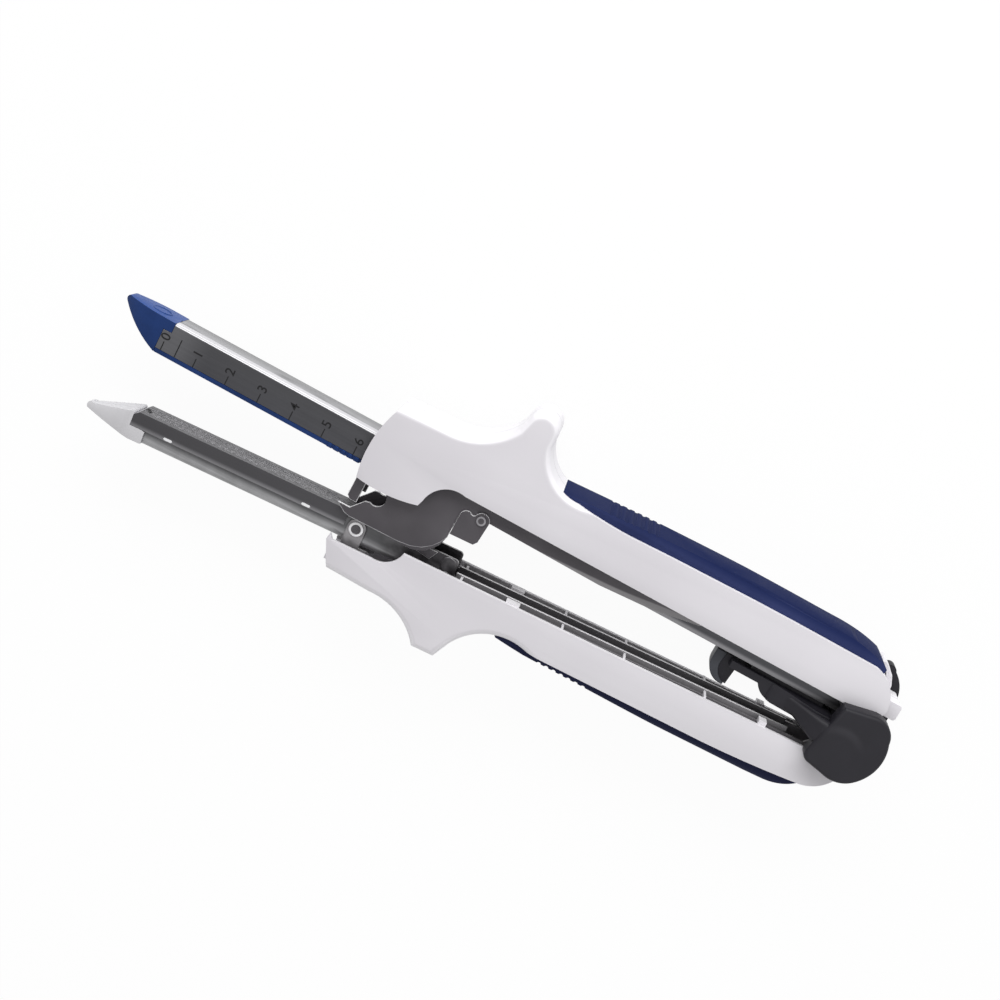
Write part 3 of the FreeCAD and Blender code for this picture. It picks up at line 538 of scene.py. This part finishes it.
def spread(unit, count, start, pitch, material):
    # Geometry Nodes: one small mesh set at even steps along X.
    tree = bpy.data.node_groups.new("evenRow", "GeometryNodeTree")
    tree.interface.new_socket("Geometry", in_out="OUTPUT", socket_type="NodeSocketGeometry")
    wanted = {"Unit": ("NodeSocketObject", unit), "Count": ("NodeSocketInt", count),
              "Start": ("NodeSocketVector", tuple(start)), "Step": ("NodeSocketVector", (pitch / 1000, 0, 0))}
    names = {}
    for label, (kind, value) in wanted.items():
        names[label] = tree.interface.new_socket(label, in_out="INPUT", socket_type=kind).identifier
    source, line, shape, copies, solid, colour, target = (tree.nodes.new(kind) for kind in (
        "NodeGroupInput", "GeometryNodeMeshLine", "GeometryNodeObjectInfo", "GeometryNodeInstanceOnPoints",
        "GeometryNodeRealizeInstances", "GeometryNodeSetMaterial", "NodeGroupOutput"))
    colour.inputs["Material"].default_value = material
    for giver, output, taker, socket in (
            (source, "Unit", shape, "Object"), (source, "Count", line, "Count"),
            (source, "Start", line, "Start Location"), (source, "Step", line, "Offset"),
            (line, "Mesh", copies, "Points"), (shape, "Geometry", copies, "Instance"),
            (copies, "Instances", solid, "Geometry"), (solid, "Geometry", colour, "Geometry"),
            (colour, "Geometry", target, "Geometry")):
        tree.links.new(giver.outputs[output], taker.inputs[socket])
    carrier = linked("rowCarrier", bpy.data.meshes.new("row"), material)
    maker = carrier.modifiers.new("maker", "NODES")
    maker.node_group = tree
    for label, (kind, value) in wanted.items():
        maker[names[label]] = value
    return plainMesh(carrier)


def joinedMesh(name, meshes, turn=None):
    work = bmesh.new()
    for mesh in meshes:
        work.from_mesh(mesh)
    whole = finished(work, name)
    if turn:
        whole.transform(turn)
    return whole


def sheet(corners, low, high, bevel=0.0):
    # A flat outline in millimetres raised between two heights, with all its edges softened.
    work = bmesh.new()
    ring = [work.verts.new((x / 1000, y / 1000, low / 1000)) for x, y in corners]
    floorFace = work.faces.new(ring)
    lifted = bmesh.ops.extrude_face_region(work, geom=[floorFace], use_keep_orig=True)
    raised = [item for item in lifted["geom"] if isinstance(item, bmesh.types.BMVert)]
    bmesh.ops.translate(work, verts=raised, vec=(0, 0, (high - low) / 1000))
    bmesh.ops.recalc_face_normals(work, faces=work.faces)
    if bevel:
        bmesh.ops.bevel(work, geom=list(work.edges), offset=bevel / 1000, segments=2, profile=0.5,
                        affect="EDGES")
    return finished(work, "sheet")


def pairedSheets(name, piece):
    # The same sheet on both sides of the anvil half.
    low, high = piece["low"], piece["high"]
    both = [sheet(piece["corners"], *levels, piece["bevel"]) for levels in ((low, high), (-high, -low))]
    return joinedMesh(name, both, opened @ shifted)


def turnedRing(piece):
    # A low ring about Z: four points across, swept round.
    radius, width, height, sides = (piece[key] for key in ("radius", "width", "height", "sides"))
    section = ((radius - width / 2, 0.0), (radius - width / 4, height), (radius + width / 4, height),
               (radius + width / 2, 0.0))
    work = bmesh.new()
    rows = []
    for step in range(sides):
        angle = 2 * math.pi * step / sides
        rows.append([work.verts.new((r * math.cos(angle) / 1000, r * math.sin(angle) / 1000, h / 1000))
                     for r, h in section])
    for step in range(sides):
        here, there = rows[step], rows[(step + 1) % sides]
        for edge in range(4):
            work.faces.new((here[edge], there[edge], there[(edge + 1) % 4], here[(edge + 1) % 4]))
    bmesh.ops.recalc_face_normals(work, faces=work.faces)
    return finished(work, "ring")


def carried(name, mesh, material, body):
    piece = linked(name, mesh, material)
    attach(piece, body)


# Ruler: marks and plain digits printed on both sides of the cartridge channel.
ruler = {"marks": 7, "pitch": 10.0, "width": 0.3, "low": 1.35, "high": 3.9, "ink": 0.03, "side": 6.2,
         "digit": 3.9, "digitMiddle": 5.35, "digitBold": 0.03, "digitSteps": 4, "cutMark": 4.3,
         "cutHigh": 6.6}


def rulerMark(x, high):
    half = ruler["width"] / 2
    corners = ((x - half, ruler["low"]), (x + half, ruler["low"]), (x + half, high), (x - half, high))
    return sheet(corners, 0, ruler["ink"])


def rulerDigit(text):
    curve = bpy.data.curves.new("digit", "FONT")
    curve.body = text
    curve.size = ruler["digit"] / 1000
    curve.align_x = "CENTER"
    curve.align_y = "CENTER"
    curve.extrude = ruler["ink"] / 2000
    curve.offset = ruler["digitBold"] / 1000
    curve.resolution_u = ruler["digitSteps"]
    return plainMesh(shown("digitCarrier", curve))


def rulerPrint(side):
    # The print is laid out on the near side and turned over for the far one.
    level = ruler["side"] if side > 0 else -ruler["side"] - ruler["ink"]
    start = place(0, 0, level)
    mark = linked("markUnit", rulerMark(0, ruler["high"]), plastic["ink"])
    made = [spread(mark, ruler["marks"], start, ruler["pitch"], plastic["ink"])]
    bpy.data.objects.remove(mark)
    cutLine = rulerMark(ruler["cutMark"], ruler["cutHigh"])
    cutLine.transform(Matrix.Translation(start))
    made.append(cutLine)
    # Heads point towards the jaw's tip on the near side, and the far side is read the same way.
    turn = Matrix.Rotation(math.radians(90), 4, "Z")
    if side < 0:
        turn = Matrix.Rotation(math.pi, 4, "X") @ turn
    for index in range(ruler["marks"]):
        digit = rulerDigit(str(index))
        spot = place(ruler["pitch"] * index, ruler["digitMiddle"], level + ruler["ink"] / 2)
        digit.transform(Matrix.Translation(spot) @ turn)
        made.append(digit)
    return made


carried("ruler_print", joinedMesh("ruler_print", rulerPrint(1) + rulerPrint(-1)), plastic["ink"],
        "cartridge_half")
print("ruler printed")

# Anvil dressing: grey rims round the staple pockets, whose middle rows start half a pitch early,
# the rims painted lighter than the face as the pockets' glints, and pressed windows low in the skirt, painted
# near-white as glints.
pocket = {"rows": (-3.25, -1.93, 1.93, 3.25), "counts": (15, 16, 16, 15), "early": (1, 2), "pitch": 3.8,
          "front": 2.0, "ends": (0.45, 2.45), "face": -3.9, "radius": 0.36, "width": 0.2, "height": 0.07,
          "sides": 10}
window = {"first": 11.9, "step": 42.3, "count": 2, "y": -7.85, "length": 2.8, "height": 0.75, "side": 5.8,
          "thick": 0.05, "bevel": 0.02}


def anvilRims():
    rim = linked("rimUnit", turnedRing(pocket), steel["rim"])
    rim.data.transform(zToY)
    made = []
    for row, offset in enumerate(pocket["rows"]):
        late = pocket["front"] if row in pocket["early"] else pocket["front"] + pocket["pitch"] / 2
        for end in pocket["ends"]:
            start = place(late + end, pocket["face"], offset)
            made.append(spread(rim, pocket["counts"][row], start, pocket["pitch"], steel["rim"]))
    bpy.data.objects.remove(rim)
    return joinedMesh("anvil_rims", made, opened)


def anvilWindows():
    half, high = window["length"] / 2, window["height"] / 2
    corners = ((-half, 0), (-half + high, -high), (half - high, -high), (half, 0), (half - high, high),
               (-half + high, high))
    unit = linked("windowUnit", sheet(corners, 0, window["thick"], window["bevel"]), steel["glint"])
    made = []
    for level in (window["side"], -window["side"] - window["thick"]):
        start = place(window["first"], window["y"], level)
        made.append(spread(unit, window["count"], start, window["step"], steel["glint"]))
    bpy.data.objects.remove(unit)
    return joinedMesh("anvil_windows", made, opened)


carried("anvil_rims", anvilRims(), steel["rim"], "anvil_half")
carried("anvil_windows", anvilWindows(), steel["glint"], "anvil_half")
print("anvil rims and windows made")

# A pressed flange below each latch plate, and the ring that stands on the reload's prow.
flange = {"corners": ((84.6, -5.6), (91.4, -6.9), (93.0, -4.0), (84.6, -4.0)), "low": 5.3, "high": 5.95,
          "bevel": 0.12}
prowRing = {"x": -5.4, "back": 10.02, "radius": 2.7, "width": 0.5, "height": 0.12, "sides": 48}

carried("anvil_flanges", pairedSheets("anvil_flanges", flange), steel["latch"], "anvil_half")
ring = turnedRing(prowRing)
ring.transform(Matrix.Translation(place(prowRing["x"], prowRing["back"], 0)) @ zToY)
carried("prow_ring", ring, plastic["blue"], "reload")
print("flanges and prow ring made")

# Steel liners inside the lower casing's lips, painted pale as painted light against their shadow, and the
# casing's rim behind the upper grip.
liner = {"corners": ((101.0, -9.5), (204.0, -9.5), (204.0, -8.8), (101.0, -7.62)), "low": 8.62,
         "high": 8.98, "bevel": 0.05}
rearRim = {"corners": ((215.0, 19.9), (215.6, 19.4), (217.6, 17.6), (219.0, 15.0), (219.2, 13.2),
                       (220.9, 13.2), (220.9, 14.8), (219.5, 17.6), (216.9, 20.1), (215.8, 20.6)),
           "low": -10.3, "high": -1.0, "bevel": 0.3}

carried("rail_liners", pairedSheets("rail_liners", liner), steel["liner"], "anvil_half")
rimMesh = sheet(*(rearRim[key] for key in ("corners", "low", "high", "bevel")))
rimMesh.transform(shifted)
carried("casing_rear_rim", rimMesh, plastic["shell"], "latch_lever")
print("liners and rear rim made")

# Latch plates' lower edges: a thin grey line along each outer face's sheared corner, a painted highlight.
latchEdge = {"line": ((62.4, -11.9), (65.2, -13.7), (67.0, -14.1), (82.0, -13.7), (85.6, -13.2),
                      (88.6, -12.0), (90.9, -10.2), (92.5, -8.1), (93.4, -6.0), (93.4, -1.5)),
             "level": 7.7, "radius": 0.1}


def edgeLine(side):
    curve = bpy.data.curves.new("edgeLine", "CURVE")
    curve.dimensions = "3D"
    curve.bevel_depth = latchEdge["radius"] / 1000
    curve.bevel_resolution = 1
    curve.use_fill_caps = True
    spline = curve.splines.new("POLY")
    spline.points.add(len(latchEdge["line"]) - 1)
    for point, (x, y) in zip(spline.points, latchEdge["line"]):
        point.co = (*place(x, y, side * latchEdge["level"]), 1.0)
    return plainMesh(shown("edgeCarrier", curve))


carried("latch_edge_lines", joinedMesh("latch_edge_lines", [edgeLine(1), edgeLine(-1)]), steel["rim"],
        "latch_lever")
print("latch edge lines made")

# Fairings that carry the bridge's sloping arms up to the pads in one smooth face.
fairing = {"start": 190.5, "end": 209.3, "inner": (7.4, 12.4), "outer": (7.75, 16.15), "top": 1.55,
           "foot": ((190.5, -2.8), (199.0, -2.9), (203.0, -4.4), (206.4, -5.6), (209.3, -5.8)),
           "columns": 16, "rows": 9, "edge": 1.1, "wall": 0.3, "skin": 0.05, "fade": 3}


def footAt(x):
    for (x0, y0), (x1, y1) in zip(fairing["foot"], fairing["foot"][1:]):
        if x <= x1:
            return y0 + (y1 - y0) * (x - x0) / (x1 - x0)
    return fairing["foot"][-1][1]


def fairingMesh(side):
    # Columns run along the arm and rows up it; the outer face rises in an S and rolls off at its edges.
    work = bmesh.new()
    front, back = [], []
    for column in range(fairing["columns"] + 1):
        t = column / fairing["columns"]
        x = fairing["start"] + (fairing["end"] - fairing["start"]) * t
        rise = t * t * (3 - 2 * t)
        outer = fairing["outer"][0] + (fairing["outer"][1] - fairing["outer"][0]) * rise
        inner = fairing["inner"][0] + (fairing["inner"][1] - fairing["inner"][0]) * t
        inner = min(inner, outer - fairing["wall"])
        foot = footAt(x)
        outerRow, innerRow = [], []
        for row in range(fairing["rows"] + 1):
            y = foot + (fairing["top"] - foot) * (row / fairing["rows"])
            roll = min(min(y - foot, fairing["top"] - y) / fairing["edge"], 1.0)
            drop = (1 - math.sqrt(max(1 - (1 - roll) ** 2, 0.0))) * fairing["edge"]
            level = max(outer - drop * min(t * fairing["fade"], 1.0), inner + fairing["skin"])
            outerRow.append(work.verts.new(place(x, y, side * level)))
            innerRow.append(work.verts.new(place(x, y, side * inner)))
        front.append(outerRow)
        back.append(innerRow)
    for c in range(fairing["columns"]):
        for r in range(fairing["rows"]):
            work.faces.new((front[c][r], front[c + 1][r], front[c + 1][r + 1], front[c][r + 1]))
            work.faces.new((back[c][r], back[c][r + 1], back[c + 1][r + 1], back[c + 1][r]))
        for r in (0, fairing["rows"]):
            work.faces.new((front[c][r], front[c + 1][r], back[c + 1][r], back[c][r]))
    for c in (0, fairing["columns"]):
        for r in range(fairing["rows"]):
            work.faces.new((front[c][r], front[c][r + 1], back[c][r + 1], back[c][r]))
    bmesh.ops.recalc_face_normals(work, faces=work.faces)
    for face in work.faces:
        face.smooth = True
    return finished(work, "fairing")


carried("knob_fairings", joinedMesh("knob_fairings", [fairingMesh(1), fairingMesh(-1)]), plastic["knob"],
        "firing_slide")
print("knob fairings made")

# Studio: pale floor that reads white to the camera and still takes the shadow.
studio = {"floor": 3.0, "paper": 0.95, "paperRough": 0.9, "white": 0.95, "sky": 0.5, "aim": (0, 0, 0.01)}
lamps = {"keyLamp": {"spot": (-0.1, 0.62, 0.45), "size": (0.9, 0.35), "power": 5.0},
         "fillLamp": {"spot": (0.35, -0.25, 0.8), "size": (0.6, 0.6), "power": 0.8}}


def seenWhite(graph):
    # One for rays from the camera, from gloss and through glass, so that all see the same backdrop.
    camera, glossy, clear = (graph.node("ShaderNodeLightPath", output=name)
                             for name in ("Is Camera Ray", "Is Glossy Ray", "Is Transmission Ray"))
    return (camera + glossy + clear).atMost(1.0)


def floorPaper():
    finish = Finish("floorPaper", roughness=studio["paperRough"])
    finish.base((studio["paper"],) * 3 + (1,))
    glow = finish.node("ShaderNodeEmission", None, {"Color": (1, 1, 1, 1), "Strength": 1.0})
    paper = Wire(finish, finish.shader.outputs[0])
    share = seenWhite(finish) * studio["white"]
    mixed = finish.node("ShaderNodeMixShader", None, {0: share, 1: paper, 2: glow})
    finish.feed(finish.tree.nodes["Material Output"].inputs["Surface"], mixed)
    return finish.material


floorSheet = bmesh.new()
bmesh.ops.create_grid(floorSheet, x_segments=1, y_segments=1, size=studio["floor"] / 2)
linked("floor", finished(floorSheet, "floor"), floorPaper())

world = bpy.data.worlds.new("studioWorld")
bpy.context.scene.world = world
world.use_nodes = True
sky = world.node_tree.nodes["Background"]
sky.inputs["Color"].default_value = (1, 1, 1, 1)
air = Graph(world.node_tree)
air.feed(sky.inputs["Strength"], seenWhite(air) * (1 - studio["sky"]) + studio["sky"])

for name, lamp in lamps.items():
    light = bpy.data.lights.new(name, "AREA")
    light.shape = "RECTANGLE"
    light.size, light.size_y = lamp["size"]
    light.energy = lamp["power"]
    made = shown(name, light)
    made.location = lamp["spot"]
    made.rotation_mode = "QUATERNION"
    made.rotation_quaternion = (Vector(studio["aim"]) - Vector(lamp["spot"])).to_track_quat("-Z", "Y")

# Camera: the photograph's own view, from above the side face and a little behind the back.
lens = {"length": 58.63, "sensor": 36.0, "clip": (0.01, 10), "spot": (101.318, 113.322, 437.609),
        "right": (0.87809, 0.46532, -0.11151), "above": (-0.47849, 0.85391, -0.20464)}
camera = bpy.data.cameras.new("photoCamera")
camera.lens = lens["length"]
camera.sensor_width = lens["sensor"]
camera.clip_start, camera.clip_end = lens["clip"]
eye = shown("photoCamera", camera)
right, above = Vector(lens["right"]), Vector(lens["above"])
turned = Matrix((right, above, right.cross(above))).transposed().to_4x4()
eye.matrix_world = Matrix.Translation(place(*lens["spot"])) @ turned
bpy.context.scene.camera = eye
bpy.context.scene.view_settings.view_transform = "Standard"
print("studio ready")
